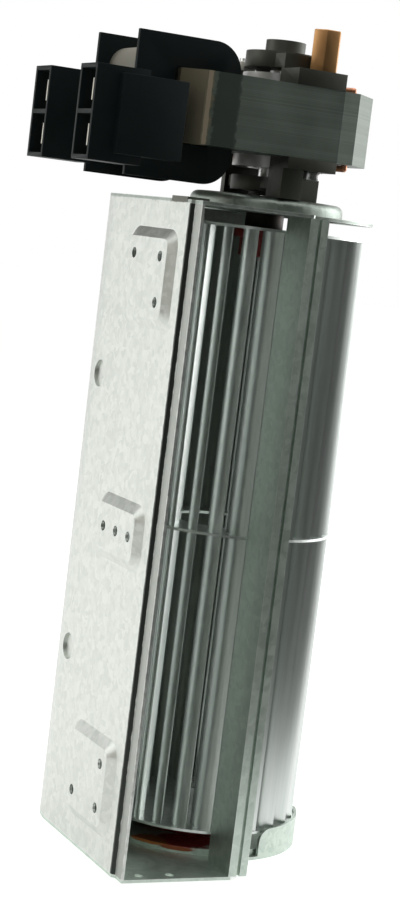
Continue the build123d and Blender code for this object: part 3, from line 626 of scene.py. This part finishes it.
# ---------------------------------------------------------------- studio
def flat_panel(name, centre, across, up, material):
    """A flat rectangular sheet for the floor or a card."""
    work = bmesh.new()
    bmesh.ops.create_grid(work, x_segments=1, y_segments=1, size=1.0)
    side = Vector(across)
    rise = Vector(up)
    turn = Matrix((side, rise, side.cross(rise).normalized())).transposed().to_4x4()
    bmesh.ops.transform(work, matrix=Matrix.Translation(centre) @ turn, verts=work.verts)
    mesh = bpy.data.meshes.new(name)
    work.to_mesh(mesh)
    work.free()
    mesh.materials.append(material)
    panel = bpy.data.objects.new(name, mesh)
    bpy.context.scene.collection.objects.link(panel)
    return panel


def matt_paint(name, colour):
    """Matt paint of one even colour."""
    material, _, shader = start_material(name, roughness=0.9)
    shader.inputs["Base Color"].default_value = (*colour, 1.0)
    return material


floor_drop = 0.0002              # floor under the lowest point of the fan
floor_half = 6.0
floor_paint, tree, shader = start_material("floor_paint", roughness=0.9)
shader.inputs["Base Color"].default_value = (0.86, 0.86, 0.86, 1.0)
shader.inputs["Emission Color"].default_value = (1.0, 1.0, 1.0, 1.0)
glow = add_node(tree, "ShaderNodeMath", operation="MULTIPLY")
glow.inputs[1].default_value = 0.7
tree.links.new(any_ray(tree, "Is Camera Ray", "Is Glossy Ray"), glow.inputs[0])
tree.links.new(glow.outputs["Value"], shader.inputs["Emission Strength"])
floor_centre = (0.0, 0.0, cad_low[2] - floor_drop)
flat_panel("floor", floor_centre, (floor_half, 0.0, 0.0), (0.0, floor_half, 0.0), floor_paint)

card_paint = matt_paint("card_paint", (0.05, 0.055, 0.05))
tan_paint = matt_paint("tan_paint", (0.40, 0.345, 0.235))
for name, centre, across, up, paint in (
    ("front_card", (0.1, -1.15, 0.45), (1.05, 0.0, 0.0), (0.0, 0.0, 0.75), card_paint),
    ("left_front_card", (-1.4, -0.74, 0.45), (0.0, 0.46, 0.0), (0.0, 0.0, 0.75), card_paint),
    ("left_card", (-1.4, 0.02, 0.45), (0.0, 0.3, 0.0), (0.0, 0.0, 0.75), tan_paint),
    ("back_card", (-0.2, 1.3, 0.9), (0.9, 0.0, 0.0), (0.0, 0.0, 0.4), card_paint),
):
    flat_panel(name, centre, across, up, paint).visible_camera = False
low_card = flat_panel("low_card", (0.05, -0.66, 0.0012), (0.95, 0.0, 0.0), (0.0, 0.53, 0.0), card_paint)
low_card.visible_camera = low_card.visible_diffuse = low_card.visible_shadow = False

world = bpy.data.worlds.new("studio")
bpy.context.scene.world = world
world.use_nodes = True
tree = world.node_tree
sky = tree.nodes["Background"]
sky.inputs["Color"].default_value = (1.0, 1.0, 1.0, 1.0)
level = add_node(tree, "ShaderNodeMapRange")
level.inputs["To Min"].default_value = 0.3
level.inputs["To Max"].default_value = 1.0
direct = any_ray(tree, "Is Camera Ray", "Is Glossy Ray", "Is Transmission Ray")
tree.links.new(direct, level.inputs["Value"])
tree.links.new(level.outputs["Result"], sky.inputs["Strength"])


def soft_lamp(name, place, aim, size, power):
    """A rectangular lamp turned towards its aim."""
    lamp = bpy.data.lights.new(name, "AREA")
    lamp.shape = "RECTANGLE"
    lamp.size = size[0]
    lamp.size_y = size[1]
    lamp.energy = power
    holder = bpy.data.objects.new(name, lamp)
    holder.location = place
    holder.rotation_euler = (Vector(aim) - Vector(place)).to_track_quat("-Z", "Y").to_euler()
    bpy.context.scene.collection.objects.link(holder)


fan_middle = (0.0, 0.0, 0.13)
soft_lamp("left_lamp", (-1.0, 0.62, 0.38), fan_middle, (0.9, 1.0), 3.0)
soft_lamp("right_lamp", (1.15, 0.05, 0.35), fan_middle, (0.9, 1.0), 8.0)
soft_lamp("top_lamp", (0.0, 0.1, 1.3), fan_middle, (1.0, 1.0), 5.0)

# ---------------------------------------------------------------- camera
azimuth, pitch, roll = radians(26.0), radians(6.25), radians(6.95)
camera_place = (-0.29065, -0.57071, 0.1902)
ahead = Vector((sin(azimuth) * cos(pitch), cos(azimuth) * cos(pitch), -sin(pitch)))
right = Vector((cos(azimuth), -sin(azimuth), 0.0))
above = right.cross(ahead)
right_rolled = right * cos(roll) + above * sin(roll)
above_rolled = above * cos(roll) - right * sin(roll)
lens = bpy.data.cameras.new("camera")
lens.sensor_width = 36.0
lens.sensor_fit = "AUTO"
lens.lens = 79.96
lens.clip_start = 0.01
lens.clip_end = 50.0
viewer = bpy.data.objects.new("camera", lens)
turn = Matrix((right_rolled, above_rolled, -ahead)).transposed().to_4x4()
viewer.matrix_world = Matrix.Translation(camera_place) @ turn
bpy.context.scene.collection.objects.link(viewer)
bpy.context.scene.camera = viewer
bpy.context.scene.view_settings.view_transform = "Standard"
